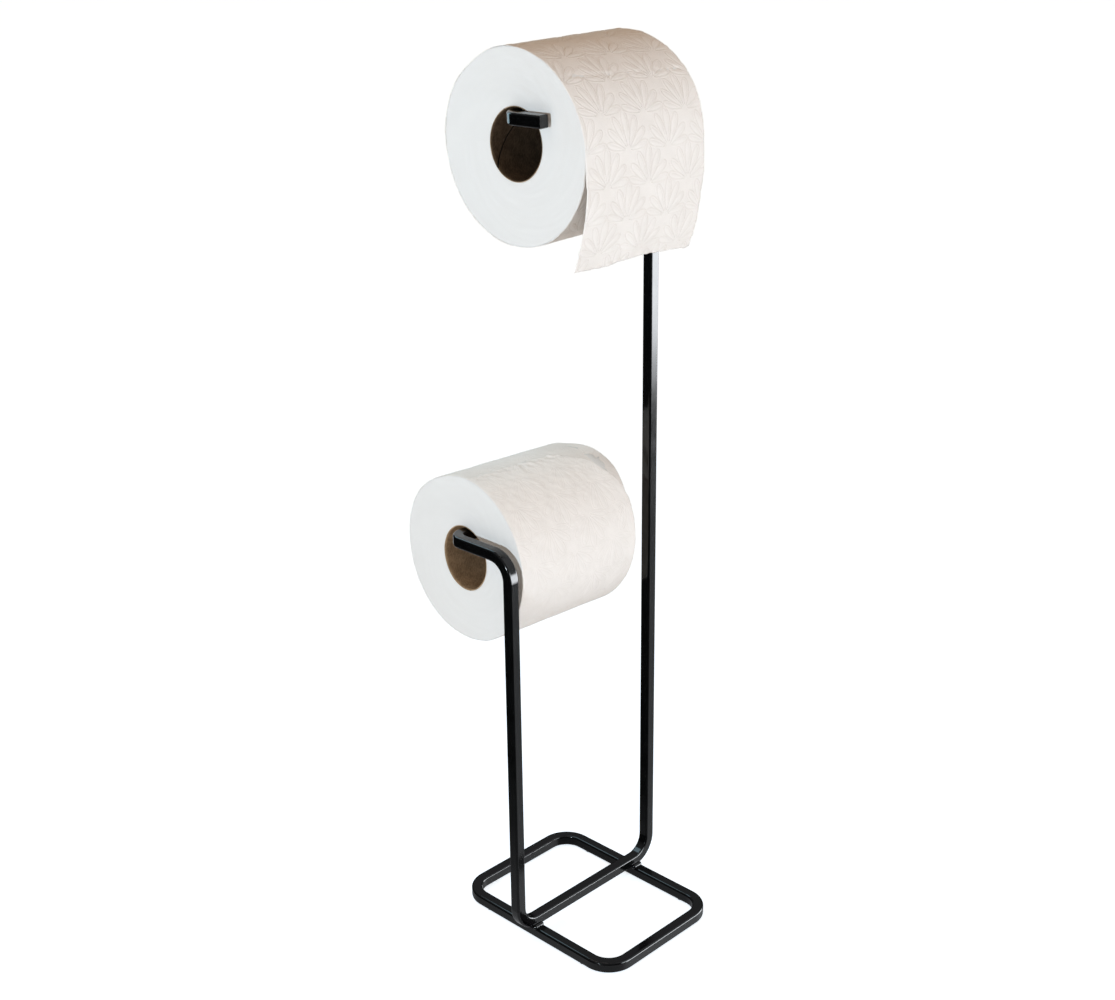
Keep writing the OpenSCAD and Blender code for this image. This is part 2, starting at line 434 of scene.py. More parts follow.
def one_fan_group():
    """Distance to the nearest petal of one fan, by the formula of one_fan."""
    tree, w, given, made = new_group(
        "One fan",
        {"Side": FLOAT, "Up": FLOAT, "Reach": FLOAT, "Plumpness": FLOAT}, {"Distance": FLOAT})
    turn = w.math("ARCTAN2", given["Side"], given["Up"])
    petal = w.math("MINIMUM", w.math("ROUND", w.over(turn, PETAL_TURN)), PETALS_ASIDE)
    petal = w.math("MAXIMUM", petal, -PETALS_ASIDE)
    turn = w.minus(turn, w.times(petal, PETAL_TURN))
    reach = w.long_side(given["Side"], given["Up"])
    shorter = w.minus(1.0, w.times(w.math("ABSOLUTE", petal), PETAL_SHORTER))
    length = w.times(given["Reach"], shorter)
    part = w.over(w.times(reach, w.math("COSINE", turn)), length)
    part = w.math("MINIMUM", w.math("MAXIMUM", part, 0.0), PAST_TIP)
    off = w.times(reach, w.math("SINE", turn))
    half = w.times(given["Plumpness"], length)
    belly = w.times(w.times(half, half), 4.0)
    square = w.times(part, part)
    inside = w.times(w.times(belly, square), w.minus(1.0, square))
    outside = w.minus(w.times(off, off), inside)
    bend = w.times(part, w.minus(1.0, w.times(square, 2.0)))
    slope = w.long_side(w.over(w.times(w.times(belly, 2.0), bend), length),
                        w.times(off, 2.0))
    field = w.over(outside, w.plus(slope, LEAST_SLOPE))
    w.feed(made["Distance"], w.plus(field, w.ramp(reach, *BARE_STALK, BARE_BY, 0.0)))
    return tree


def fan_group(paper):
    """The embossed fans, as heights and lines, from a place on the paper in millimetres."""
    line_at, line_width, line_depth = 0.2, 0.55, 0.6
    tree, w, given, made = new_group(
        "Embossed fans",
        {"Place": VECTOR, "Repeat": ("Float", paper.fan_repeat),
         "Row": ("Float", paper.fan_row), "Reach": ("Float", paper.fan_reach),
         "Plumpness": ("Float", paper.petal_plump)},
        {"Height": FLOAT, "Line": FLOAT})
    place = w.split(given["Place"])
    row = w.math("FLOOR", w.over(place["X"], given["Row"]))
    half = w.times(given["Repeat"], 0.5)
    one_fan_tree = one_fan_group()
    distances = []
    for below in (0.0, 1.0):
        this_row = w.minus(row, below)
        shift = w.times(w.math("FLOORED_MODULO", this_row, 2.0), half)
        moved = w.plus(w.minus(place["Y"], shift), half)
        side = w.minus(w.math("FLOORED_MODULO", moved, given["Repeat"]), half)
        up = w.minus(place["X"], w.times(this_row, given["Row"]))
        fan = w.group(one_fan_tree, {"Side": side, "Up": up, "Reach": given["Reach"],
                                     "Plumpness": given["Plumpness"]})
        distances.append(fan["Distance"])
    field = w.math("MINIMUM", *distances)
    line = w.ramp(w.math("ABSOLUTE", w.minus(field, line_at)), 0.0, line_width, 1.0, 0.0)
    raised = w.ramp(field, PETAL_FULL, PETAL_FOOT, 1.0, 0.0)
    w.feed(made["Line"], line)
    w.feed(made["Height"], w.minus(raised, w.times(line, line_depth)))
    return tree


def crepe_group():
    """Soft crosswise crepe of tissue, and its cloudy tone."""
    tree, w, given, made = new_group(
        "Tissue crepe", {"Place": VECTOR}, {"Height": FLOAT, "Cloud": FLOAT})
    place = given["Place"]
    crosswise = w.stretched(place, (1.0, 0.22, 1.0))
    crepe = w.noise(crosswise, scale=2.6, detail=3.0, roughness=0.6)
    fibre = w.noise(place, scale=5.5, detail=2.0, roughness=0.6)
    w.feed(made["Height"], w.plus(w.times(crepe, 0.7), w.times(fibre, 0.3)))
    w.feed(made["Cloud"], w.noise(place, scale=0.08, detail=3.0, roughness=0.55))
    return tree


def peel_group():
    """Orange peel, patches and specks of a powder coat."""
    tree, w, given, made = new_group(
        "Powder coat", {"Place": VECTOR, "Grain": ("Float", 1.0)},
        {"Height": FLOAT, "Patch": FLOAT, "Speck": FLOAT})
    place, fineness = given["Place"], w.over(1.0, given["Grain"])
    w.feed(made["Height"], w.noise(place, fineness, detail=2.0, roughness=0.45))
    w.feed(made["Patch"], w.noise(place, scale=0.05, detail=3.0, roughness=0.6))
    speck = w.noise(place, w.times(fineness, 2.4), detail=1.0, roughness=0.5)
    w.feed(made["Speck"], w.ramp(speck, 0.68, 0.78))
    return tree


def card_group():
    """Fibres of card that run along its strip; the place's third number is one in the seam."""
    tree, w, given, made = new_group(
        "Card fibres",
        {"Place": VECTOR, "Dark": COLOUR, "Light": COLOUR},
        {"Color": COLOUR, "Height": FLOAT})
    place = given["Place"]
    lengthwise = w.stretched(place, (0.25, 1.0, 1.0))
    fibre = w.noise(lengthwise, scale=1.6, detail=4.0, roughness=0.65)
    blotch = w.noise(place, scale=0.16, detail=3.0, roughness=0.6)
    mixed = w.plus(w.times(fibre, 0.65), w.times(blotch, 0.35))
    seam = w.ramp(w.split(place)["Z"], 0.35, 0.8)
    card = w.blend(w.ramp(mixed, 0.36, 0.64), given["Dark"], given["Light"])
    shade = w.scaled(given["Dark"], 0.25)
    w.feed(made["Color"], w.blend(seam, card, shade))
    w.feed(made["Height"], fibre)
    return tree


def layers_group():
    """Edges of the wound layers on a cut face, from depth and arc in millimetres."""
    tree, w, given, made = new_group(
        "Wound layers", {"Place": VECTOR}, {"Height": FLOAT, "Tone": FLOAT})
    place = given["Place"]
    round_the_core = w.stretched(place, (1.0, 0.035, 1.0))
    layer = w.noise(round_the_core, scale=2.8, detail=2.0, roughness=0.6)
    band = w.noise(round_the_core, scale=0.5, detail=2.0, roughness=0.55)
    fluff = w.noise(place, scale=1.3, detail=4.0, roughness=0.65)
    cloud = w.noise(place, scale=0.05, detail=2.0, roughness=0.5)
    rough = w.plus(w.times(layer, 0.3), w.times(fluff, 0.7))
    w.feed(made["Height"], w.plus(rough, w.times(band, 0.12)))
    w.feed(made["Tone"], w.plus(w.times(band, 0.1), w.times(cloud, 0.9)))
    return tree


def shared_group(name, make, *values):
    """The group of this name, made when the first material asks for it."""
    return bpy.data.node_groups.get(name) or make(*values)


def place_attribute(w):
    return w.node("Attribute", attribute_name="place", attribute_type="GEOMETRY").outputs["Vector"]


def place_in_object(w):
    return w.scaled(w.node("TexCoord").outputs["Object"], 1 / MM)


def new_material(name, shader):
    """A material with one Principled shader of constant values, and its wiring."""
    material = bpy.data.materials.new(name)
    material.use_nodes = True
    tree = material.node_tree
    principled = tree.nodes["Principled BSDF"]
    for key, value in shader.items():
        principled.inputs[key].default_value = value
    return material, Wiring(tree), principled.inputs


def add_bump(w, sockets, height, distance, strength, under=None):
    bump = w.node("Bump", {"Strength": strength, "Distance": distance, "Height": height})
    if under is not None:
        w.feed(bump.inputs["Normal"], under)
    w.feed(sockets["Normal"], bump.outputs[0])
    return bump.outputs[0]


def coat_material(name, coat, peel, finish):
    material, w, sockets = new_material(name, {"Specular IOR Level": 0.5, "Metallic": 0.0})
    out = w.group(peel, {"Place": place_in_object(w), "Grain": finish.grain})
    darker, lighter, speck = tone(coat, 0.8), tone(coat, 1.3), tone(coat, 3.0)
    patched = w.blend(w.ramp(out["Patch"], 0.3, 0.7), darker, lighter)
    w.feed(sockets["Base Color"], w.blend(w.times(out["Speck"], 0.35), patched, speck))
    glossier, duller = finish.roughness - 0.03, finish.roughness + 0.04
    w.feed(sockets["Roughness"], w.ramp(out["Patch"], 0.25, 0.75, glossier, duller))
    add_bump(w, sockets, out["Height"], distance=0.0001, strength=finish.peel)
    return material


def pad_material(peel, finish):
    material, w, sockets = new_material("pad_rubber", {"Specular IOR Level": 0.3})
    out = w.group(peel, {"Place": place_in_object(w), "Grain": 0.5})
    darker, lighter = tone(finish.pad_colour, 0.7), tone(finish.pad_colour, 1.4)
    w.feed(sockets["Base Color"], w.blend(out["Patch"], darker, lighter))
    w.feed(sockets["Roughness"], w.ramp(out["Height"], 0.3, 0.7, 0.7, 0.85))
    add_bump(w, sockets, out["Height"], distance=0.0001, strength=0.3)
    return material


# Painted shade: the darker warm grey mixed into the tissue along the pressed lines round the
# petals
LINE_SHADE_TINT = (0.62, 0.53, 0.47)


def tissue_material(name, clear, paper):
    """Tissue whose fans stand out more or less clearly, by bump and by painted shade along their
    pressed lines.
    """
    material, w, sockets = new_material(
        name, {"Specular IOR Level": 0.12, "Sheen Weight": 0.08, "Sheen Roughness": 0.6})
    place = place_attribute(w)
    emboss = w.group(shared_group("Embossed fans", fan_group, paper), {"Place": place})
    soft = w.group(shared_group("Tissue crepe", crepe_group), {"Place": place})
    clouded = w.blend(w.ramp(soft["Cloud"], 0.3, 0.7), tone(paper.tissue, 0.97),
                      tone(paper.tissue))
    # Painted shade along the pressed lines, stronger where the fans stand out more clearly
    line_shade = w.times(emboss["Line"], 0.11 * clear)
    w.feed(sockets["Base Color"], w.blend(line_shade, clouded, tone(LINE_SHADE_TINT)))
    w.feed(sockets["Roughness"], w.ramp(soft["Height"], 0.3, 0.7, 0.88, 0.96))
    under = add_bump(w, sockets, emboss["Height"], distance=0.00035, strength=0.5 * clear)
    add_bump(w, sockets, soft["Height"], distance=0.00018, strength=0.45, under=under)
    return material


def winding_material(paper):
    material, w, sockets = new_material("wound_tissue_edges", {"Specular IOR Level": 0.1})
    out = w.group(shared_group("Wound layers", layers_group), {"Place": place_attribute(w)})
    w.feed(sockets["Base Color"], w.blend(w.ramp(out["Tone"], 0.35, 0.65),
                                          tone(paper.cut_face, 0.985), tone(paper.cut_face)))
    w.feed(sockets["Roughness"], w.ramp(out["Height"], 0.4, 0.8, 0.97, 0.9))
    add_bump(w, sockets, out["Height"], distance=0.00016, strength=0.25)
    return material


def card_material(name, dark, light):
    material, w, sockets = new_material(name, {"Specular IOR Level": 0.2})
    out = w.group(shared_group("Card fibres", card_group),
                  {"Place": place_attribute(w), "Dark": tone(dark), "Light": tone(light)})
    w.feed(sockets["Base Color"], out["Color"])
    w.feed(sockets["Roughness"], w.ramp(out["Height"], 0.3, 0.7, 0.8, 0.92))
    add_bump(w, sockets, out["Height"], distance=0.00012, strength=0.5)
    return material


# Windings: wound paper with its cut faces --------

ROUND_STEPS = 240
FACE_RINGS, SIDE_RINGS = 56, 12
HOLE_ARC = 0.35
FACE_GRAIN, FACE_WAVE, FACE_INSET = 0.04, 0.10, 0.06
# How much the grain is drawn out round the core, and the waves squeezed across it
GRAIN_ROUND, WAVE_ACROSS = 0.03, 2
SIDE_GRAIN = 0.2
RIM_FROM, RIM_ROUNDING, RIM_CALM = 0.955, 0.12, 0.9


def winding_piece(name, roll, core_wall, outer_at, drift, seed):
    """The wound paper: cut faces with the layers' edges, and the side under the outer tissue."""
    rng = np.random.default_rng(seed)
    uneven = ripples(rng, 26, 0.8, 9.0)
    wavy = ripples(rng, 16, 14.0, 60.0)
    angle = np.linspace(0, FULL_TURN, ROUND_STEPS, endpoint=False)[:, None]
    out = np.linspace(0, 1, FACE_RINGS)
    side = np.linspace(0, 1, SIDE_RINGS + 2)[1:-1]
    # Once round the section: near face outwards, outer side, far face inwards, bore
    outwards = np.concatenate([out, np.ones(SIDE_RINGS), out[::-1], np.zeros(SIDE_RINGS)])
    along = np.concatenate([np.zeros(FACE_RINGS), side, np.ones(FACE_RINGS), side[::-1]])
    face = np.repeat([-1.0, 0.0, 1.0, 0.0], [FACE_RINGS, SIDE_RINGS, FACE_RINGS, SIDE_RINGS])
    core = roll.bore(angle) + core_wall
    outer = outer_at(angle, along * roll.width)
    y = between(core * np.cos(angle), roll.centre[0] + outer * np.cos(angle), outwards)
    z = between(core * np.sin(angle), roll.centre[1] + outer * np.sin(angle), outwards)
    depth = outwards * (outer - core)
    arc = angle * outer.mean() * between(HOLE_ARC, 1, outwards)
    rough = FACE_GRAIN * uneven(depth, arc * GRAIN_ROUND)
    rough = rough + FACE_WAVE * wavy(depth * WAVE_ACROSS, arc)
    inset = RIM_ROUNDING * smooth(RIM_FROM, 1.0, outwards) ** 2 + FACE_INSET
    calm = smooth(1.0, RIM_CALM, outwards)
    x = along * roll.width + np.abs(face) * (rough * calm - face * inset)
    x = x + (face > 0) * drift(angle, outwards)
    return ring_piece(name, roll.in_row(x, y, z), triples(depth, arc, x * SIDE_GRAIN))


def no_drift(angle, outwards):
    return 0.0


# Cores: two plies of card, wound on a slant --------

CORE_COLUMNS, CORE_ROWS = 110, 54
# Extra columns beside the seam, in half widths of its gap, and radians left free next to it
SEAM_COLUMNS = np.array([-1.6, -1.0, -0.75, 0.75, 1.0, 1.6])
SEAM_CLEAR = 0.04
SEAM_EDGE, SEAM_DEPTH = 0.9, 0.6
# Mean radii of the bore, for the seam's gap and for the ripples
BORE_RADIUS, WAVE_RADIUS = 21.6, 21
PLY_FIT = 0.98
CORE_SHORTER, CORE_INSET, PLY_INSET = 0.1, 0.05, 0.1
CORE_WAVE, CORE_END_WAVE = 0.06, 0.12
# The end reads the wall's ripples this far away
END_AWAY = 40
# Radians between the seams of the two plies
SEAM_TURN = 1.9
CORE_SEED = 30
# The card's own directions, in millimetres for each millimetre of core and each radian
STRIP_ALONG, STRIP_ACROSS = (0.6, 18), (0.8, -12)


def core_piece(name, roll, cores, ply, seam_at, seed):
    """One ply of the core; the inner one, number 0, has a gap along its slanting seam."""
    wavy = ripples(np.random.default_rng(seed), 14, 12.0, 70.0)
    gap = cores.seam / BORE_RADIUS
    even = np.linspace(SEAM_CLEAR, FULL_TURN - SEAM_CLEAR, CORE_COLUMNS)
    column = np.concatenate([SEAM_COLUMNS * gap / 2, even])
    column = np.sort(np.mod(column, FULL_TURN))[:, None]
    length = np.linspace(0.0, roll.width - CORE_SHORTER, CORE_ROWS)
    outside = np.repeat([0.0, 1.0], CORE_ROWS)
    along = np.concatenate([length, length[::-1]])
    angle = column + seam_at + FULL_TURN / cores.lead * along
    off_seam = np.abs(np.mod(column + math.pi, FULL_TURN) - math.pi)
    groove = (off_seam < SEAM_EDGE * gap / 2) * (outside < 0.5) * (ply == 0)
    radius = roll.bore(angle) + (ply + outside) * cores.ply * PLY_FIT
    radius = radius + groove * SEAM_DEPTH * cores.ply
    radius = radius + CORE_WAVE * wavy(angle * WAVE_RADIUS, along)
    end = wavy(angle * WAVE_RADIUS + END_AWAY, 0) * (1 - 2 * along / roll.width)
    x = along + CORE_INSET + PLY_INSET * ply + CORE_END_WAVE * end
    strip = triples(x * STRIP_ALONG[0] + angle * STRIP_ALONG[1],
                    x * STRIP_ACROSS[0] + angle * STRIP_ACROSS[1], hump(off_seam, 0, gap))
    points = roll.in_row(x, radius * np.cos(angle), radius * np.sin(angle))
    return ring_piece(name, points, strip)


# Outer tissue of the roll in use --------

COLUMNS = 108
ROW_MM = 1.0
# A wound layer's rise in one turn, and the room between the outer tissue and the winding
WRAP_STEP = 0.55
WRAP_GAP = 0.02
# Where the torn end lies below an even line, along the roll's width and in millimetres
TORN_AT = (0.0, 0.1, 0.29, 0.37, 0.59, 0.68, 0.79, 0.97, 1.0)
TORN_BY = (0.0, 0.6, 1.1, -0.6, -1.8, -1.4, -1.0, 0.3, -0.6)
TORN_TEETH = 0.2
HANG_FRONT, HANG_REAR = 71.4, 76.6
STRAIGHT_MM = 14.0
CURL_FRONT, CURL_REAR = 124.0, 138.0
EDGE_WAVE, EDGE_STEP = 0.18, 480 / 479
FAN_START = (1.9, 36.4)
PAPER_SKEW = 0.08
# The perforated line below the roll: its place, puckers on both sides, and groove
PERFORATION = 50.0
PUCKER_MM, PUCKER_SPREAD = 0.24, 2.6
GROOVE_MM, GROOVE_SPREAD = 0.16, 0.9
# Waves of the hanging sheet, full this far down, and of the turn on the roll
LOOSE_WAVE, LOOSE_BY = 0.45, 45
SNUG_WAVE, SNUG_AWAY, SNUG_FINE = 0.12, 80, 1.4


def spiral(roll, turned, angle, x):
    """Outer radius of the outer tissue once it has turned this far from where it leaves."""
    return roll.outside(angle, x) - WRAP_STEP * turned / FULL_TURN


def top_outer(roll, paper):
    def at(angle, x):
        turned = np.mod(math.pi - angle, FULL_TURN)
        return spiral(roll, turned, angle, x) - paper.thickness - WRAP_GAP
    return at


def top_sheet_piece(paper):
    """The outermost turn of the roll in use and the sheet that hangs from it, in one length."""
    roll = TOP_ROLL
    rng = np.random.default_rng(paper.seed)
    teeth = ripples(rng, 20, 0.9, 4.0)
    wave = ripples(rng, 14, 18.0, 70.0)
    pucker = ripples(rng, 24, 3.0, 11.0)
    edge_wave = ripples(rng, 10, 5.0, 40.0)
    across = np.linspace(0, 1, COLUMNS)
    hang = between(HANG_FRONT, HANG_REAR, across) + np.interp(across, TORN_AT, TORN_BY)
    hang = hang + TORN_TEETH * teeth(across * roll.width, 0.0)
    # The path is below zero on the hanging sheet and above it round the roll
    down = 1 - np.linspace(0, 1, int(HANG_REAR / ROW_MM), endpoint=False)
    girth = FULL_TURN * roll.radius
    round_the_roll = np.linspace(0, girth, int(girth / ROW_MM))
    path = np.concatenate([-down[:, None] * hang, round_the_roll[:, None] + 0 * hang])
    edge = EDGE_WAVE * edge_wave(np.arange(len(path)) * EDGE_STEP, 0.0)
    x = across * roll.width + edge[:, None] * (1 - 2 * across) ** 4
    hanging = np.clip(-path, 0, None)
    bend = between(CURL_FRONT, CURL_REAR, across)
    curl = np.clip(hanging - STRAIGHT_MM, 0, None) / bend
    turned = np.clip(path, 0, None) / roll.radius
    angle = math.pi - turned
    radius = spiral(roll, turned, angle, x)
    y = np.where(path < 0, bend * (1 - np.cos(curl)) - roll.outside(math.pi, x),
                 radius * np.cos(angle))
    z = np.where(path < 0, -np.minimum(hanging, STRAIGHT_MM) - bend * np.sin(curl),
                 radius * np.sin(angle))
    normal_y = np.where(path < 0, -np.cos(curl), np.cos(angle))
    normal_z = np.where(path < 0, -np.sin(curl), np.sin(angle))
    pattern = path + PAPER_SKEW * x
    place = triples(pattern - FAN_START[0], x - FAN_START[1], 0)
    height = relief(place[..., 0], place[..., 1], paper)
    height = height + PUCKER_MM * hump(pattern, PERFORATION, PUCKER_SPREAD) * pucker(pattern, x)
    height = height - GROOVE_MM * hump(pattern, PERFORATION, GROOVE_SPREAD)
    height = height + LOOSE_WAVE * smooth(0, LOOSE_BY, hanging) * wave(pattern, x)
    height = height + SNUG_WAVE * wave(pattern + SNUG_AWAY, x * SNUG_FINE)
    y = y + height * normal_y + roll.centre[0]
    z = z + height * normal_z + roll.centre[1]
    normals = roll.direction(0, normal_y, normal_z)
    return sheet_piece("top_tissue_sheet", roll.in_row(x, y, z), normals,
                       paper.thickness * MM, place)


# Outer tissue of the spare roll --------

# Its end lies at this angle, apart from its torn far corner: place along the roll, and angle
LOW_END = 93
LOOSE_END_AT = (0, 70, 80, 85.4, 90.7, 95.4, 97.0, 98.8, 101.4, 104.5, 106.5, 108.0, 109.0)
LOOSE_END_ANGLE = (93, 94, 98, 104, 108, 112.7, 116.9, 121.9, 126.6, 131.2, 136.8, 143, 149)
LOOSE_TEETH = 0.006
LOW_TURNS = math.radians(432)
# The corner's edge stands past the far face, until the tissue has turned by these radians
PAST_FACE, PAST_UNTIL = 1.9, (1.9, 0.9)
# Shares of a turn over which the tissue goes under its own end
UNDER_FROM, UNDER_TO = 0.88, 0.98
DRIFT_AT, DRIFT_SPREAD, DRIFT_MM = 106, 42, 8.4
RECESS_AT, RECESS_ALONG, RECESS_ROUND, RECESS_MM = 118, (82, 107), (62, 38), 2.9
# Degrees after its end over which the tissue still lies twice
TWICE, TWICE_GAP = (98, 76), 0.05
CORNER_ALONG, CORNER_ROUND, CORNER_LIFT = (104, 11), (122, 20), 0.9
END_PRESSED, END_OVER = 0.2, (4.0, 0.5)
# The fans are pressed flat near both rims
SNUG_RIM, RIM_RELIEF, SNUG_RELIEF = 5, 0.25, 0.35
LOW_FAN_START = (8.0, 12.0)
LOW_SKEW = 0.03
# Puckers along the end of the tissue, and crinkles at the loose corner
END_PUCKER, END_PUCKER_AT, END_PUCKER_ALONG, END_FINE = 0.4, (5.0, 6.0), (95, 85), 1.6
CRINKLE, CRINKLE_AT, CRINKLE_FINE, CRINKLE_AWAY = 0.16, (118, 26), (1.3, 0.8), 200
# Radians after its end that count as the outermost layer
OUTER_TURN = 3
LOW_EDGE_WAVE, LOW_WAVE, LOW_PUCKER, LOW_AWAY = 0.15, 0.10, 0.05, 50


def low_drift(angle, outwards):
    """How far the outer layers have slid out of the spare roll's far face."""
    away = np.abs(degrees_from(angle, DRIFT_AT) / DRIFT_SPREAD)
    return DRIFT_MM * np.exp(-away ** 3) * outwards ** 5


def low_recess(angle, x):
    """How far the layers under the loose corner lie below it."""
    away = np.abs(degrees_from(angle, RECESS_AT))
    return RECESS_MM * smooth(*RECESS_ALONG, x) * smooth(*RECESS_ROUND, away)


def low_outer(roll, paper):
    def at(angle, x):
        turned = np.mod(angle - math.radians(LOW_END), FULL_TURN)
        twice = smooth(*TWICE, np.degrees(turned))
        below = WRAP_STEP * (twice + turned / FULL_TURN) + paper.thickness + WRAP_GAP
        return roll.outside(angle, x) - (below + TWICE_GAP * twice) - low_recess(angle, x)
    return at


def low_wrap_piece(paper):
    """The spare roll's outer tissue: it ends on top of the roll, its far corner torn away."""
    roll = LOW_ROLL
    rng = np.random.default_rng(paper.seed + 1)
    teeth = ripples(rng, 20, 1.2, 5.0)
    wave = ripples(rng, 14, 18.0, 70.0)
    pucker = ripples(rng, 24, 3.0, 12.0)
    across = np.linspace(0, 1.0 + PAST_FACE / roll.width, COLUMNS)
    first = across * roll.width
    start = np.radians(np.interp(first, LOOSE_END_AT, LOOSE_END_ANGLE))
    start = start + LOOSE_TEETH * teeth(first, 0.0)
    end = math.radians(LOW_END) + LOW_TURNS
    rows = int(LOW_TURNS * roll.radius / ROW_MM)
    angle = between(start, end, np.linspace(0, 1, rows)[:, None])
    turned = angle - math.radians(LOW_END)
    from_end = turned * roll.radius
    outermost = turned < OUTER_TURN
    degrees = np.degrees(angle)
    far = np.clip(across, 0, 1)
    past = (first - roll.width) * smooth(*PAST_UNTIL, turned)
    x = np.where(first > roll.width, roll.width + past, first)
    under = smooth(FULL_TURN * UNDER_FROM, FULL_TURN * UNDER_TO, turned)
    x = x + under * low_drift(angle, far)
    x = x + LOW_EDGE_WAVE * wave(angle * roll.radius, 0.0) * (1 - 2 * far) ** 6
    corner = hump(x, *CORNER_ALONG) * hump(degrees, *CORNER_ROUND) * outermost
    radius = spiral(roll, turned, angle, x) + CORNER_LIFT * corner
    radius = radius - under * low_recess(angle, x) - END_PRESSED * smooth(*END_OVER, from_end)
    pattern = angle * roll.radius + LOW_SKEW * x
    place = triples(pattern - LOW_FAN_START[0], x - LOW_FAN_START[1], 0)
    snug = smooth(0, SNUG_RIM, x) * smooth(roll.width, roll.width - SNUG_RIM, x)
    height = (RIM_RELIEF + SNUG_RELIEF * snug) * relief(place[..., 0], place[..., 1], paper)
    line = hump(from_end, *END_PUCKER_AT) * smooth(*END_PUCKER_ALONG, x)
    height = height + END_PUCKER * line * pucker(pattern * END_FINE, x)
    crinkled = hump(degrees, *CRINKLE_AT) * outermost * snug
    crinkles = pucker(pattern * CRINKLE_FINE[0] + CRINKLE_AWAY, x * CRINKLE_FINE[1])
    height = height + CRINKLE * crinkled * crinkles
    height = height + LOW_WAVE * wave(pattern, x) + LOW_PUCKER * pucker(pattern + LOW_AWAY, x)
    y = (radius + height) * np.cos(angle) + roll.centre[0]
    z = (radius + height) * np.sin(angle) + roll.centre[1]
    normals = roll.direction(0, np.cos(angle), np.sin(angle))
    return sheet_piece("low_tissue_wrap", roll.in_row(x, y, z)[::-1], normals[::-1],
                       paper.thickness * MM, place[::-1])


# Stage --------

CAMERA_AT = (-0.7424, -0.7061, 0.7061)
CAMERA_RIGHT = (0.6984, -0.7156, -0.0118)
CAMERA_UP = (0.2595, 0.2378, 0.936)
SENSOR_MM = 36.0
CLIP_NEAR, CLIP_FAR = 0.01, 60.0
FLOOR_HALF, FLOOR_POINTS = 14.0, 9
MIDDLE = (0.0, 0.0, 0.42)
# Each lamp's shape, size, place, aim and tint
LAMPS = {
    "key": ("DISK", 0.1, (-1.6, -0.26, 0.56), MIDDLE, (0.815, 0.925, 1.0)),
    "side": ("SQUARE", 1.0, (0.5, -2.0, 0.45), MIDDLE, (0.88, 0.945, 1.0)),
    "back": ("SQUARE", 0.3, (0.0, 0.3, 0.58), (0.0, 0.05, 0.34), (0.6, 0.86, 1.0)),
}
# The floor's greys where it takes light, and its colour and glow where the camera sees it
LIT_FLOOR = ((0.84, 0.84, 0.84, 1), (0.86, 0.86, 0.86, 1))
SEEN_FLOOR, FLOOR_GLOW, GLOW_STRENGTH = (0.6, 0.75, 0.92, 1), (0.95, 0.98, 1.0, 1), 0.8
# What the bars mirror. Sides are cosines of the turn from the window's heading, and the
# other limits are heights of the direction, where each part begins and is full.
WINDOW_RIGHT, WINDOW_FRONT = 0.755, 0.656
PANE_SIDES, PANE_FOOT, PANE_HEAD = (0.86, 0.95), (-0.30, -0.235), (0.04, 0.16)
WALL_SIDES, WALL_FOOT, WALL_GLOW = (0.7, 0.95), (-0.75, -0.5), 0.5
CEILING, CEILING_GLOW = (0.1, 0.7), 0.22
GROUND, GROUND_GLOW = (-0.6, -0.5), 0.4
DARKEST = 0.01
MIRROR_TINT = (0.93, 0.96, 1.0, 1.0)
WHITE = (1.0, 1.0, 1.0, 1.0)
ROOM_HEIGHT = 0.8


def add_lamp(name, watts, shape, size, at, towards, tint):
    lamp = bpy.data.lights.new(name, "AREA")
    lamp.shape = shape
    lamp.size = size
    lamp.energy = watts
    lamp.color = tint
    made = bpy.data.objects.new(name, lamp)
    bpy.context.scene.collection.objects.link(made)
    made.location = at
    made.rotation_mode = "QUATERNION"
    made.rotation_quaternion = (Vector(towards) - Vector(at)).to_track_quat("-Z", "Y")


def add_camera(lens):
    right, up = Vector(CAMERA_RIGHT).normalized(), Vector(CAMERA_UP)
    back = right.cross(up).normalized()
    turn = Matrix((right, back.cross(right), back)).transposed()
    camera = bpy.data.objects.new("photo_camera", bpy.data.cameras.new("photo_camera"))
    camera.matrix_world = Matrix.Translation(Vector(CAMERA_AT)) @ turn.to_4x4()
    camera.data.lens = lens
    camera.data.sensor_width = SENSOR_MM
    camera.data.sensor_fit = "HORIZONTAL"
    camera.data.clip_start, camera.data.clip_end = CLIP_NEAR, CLIP_FAR
    bpy.context.scene.collection.objects.link(camera)
    bpy.context.scene.camera = camera


def floor_material():
    """Pale grey floor that the camera sees near white."""
    material, w, sockets = new_material("pale_floor",
                                        {"Roughness": 0.9, "Specular IOR Level": 0.1})
    place = w.node("TexCoord").outputs["Object"]
    seen = w.node("LightPath").outputs["Is Camera Ray"]
    plain = w.blend(w.noise(place, scale=3.0), *LIT_FLOOR)
    w.feed(sockets["Base Color"], w.blend(seen, plain, SEEN_FLOOR))
    w.feed(sockets["Emission Color"], FLOOR_GLOW)
    w.feed(sockets["Emission Strength"], w.times(seen, GLOW_STRENGTH))
    return material


def mirrored_room(w, towards, window):
    """Brightness of what the bars mirror: a window, the wall round it, ceiling and ground."""
    height = towards["Z"]
    flat = w.long_side(towards["X"], towards["Y"])
    ahead = w.minus(w.times(towards["X"], WINDOW_RIGHT), w.times(towards["Y"], WINDOW_FRONT))
    facing = w.over(ahead, w.math("MAXIMUM", flat, 0.01))
    pane = w.times(w.ramp(facing, *PANE_SIDES), w.ramp(height, *PANE_FOOT))
    pane = w.times(pane, w.ramp(height, *PANE_HEAD, 1.0, 0.0))
    wall = w.times(w.ramp(facing, *WALL_SIDES), w.ramp(height, *WALL_FOOT))
    ceiling, ground = w.ramp(height, *CEILING), w.ramp(height, *GROUND, 1.0, 0.0)
    total = w.times(pane, window)
    for part, glow in ((wall, WALL_GLOW), (ceiling, CEILING_GLOW), (ground, GROUND_GLOW)):
        total = w.plus(total, w.times(part, glow))
    return w.plus(total, DARKEST)


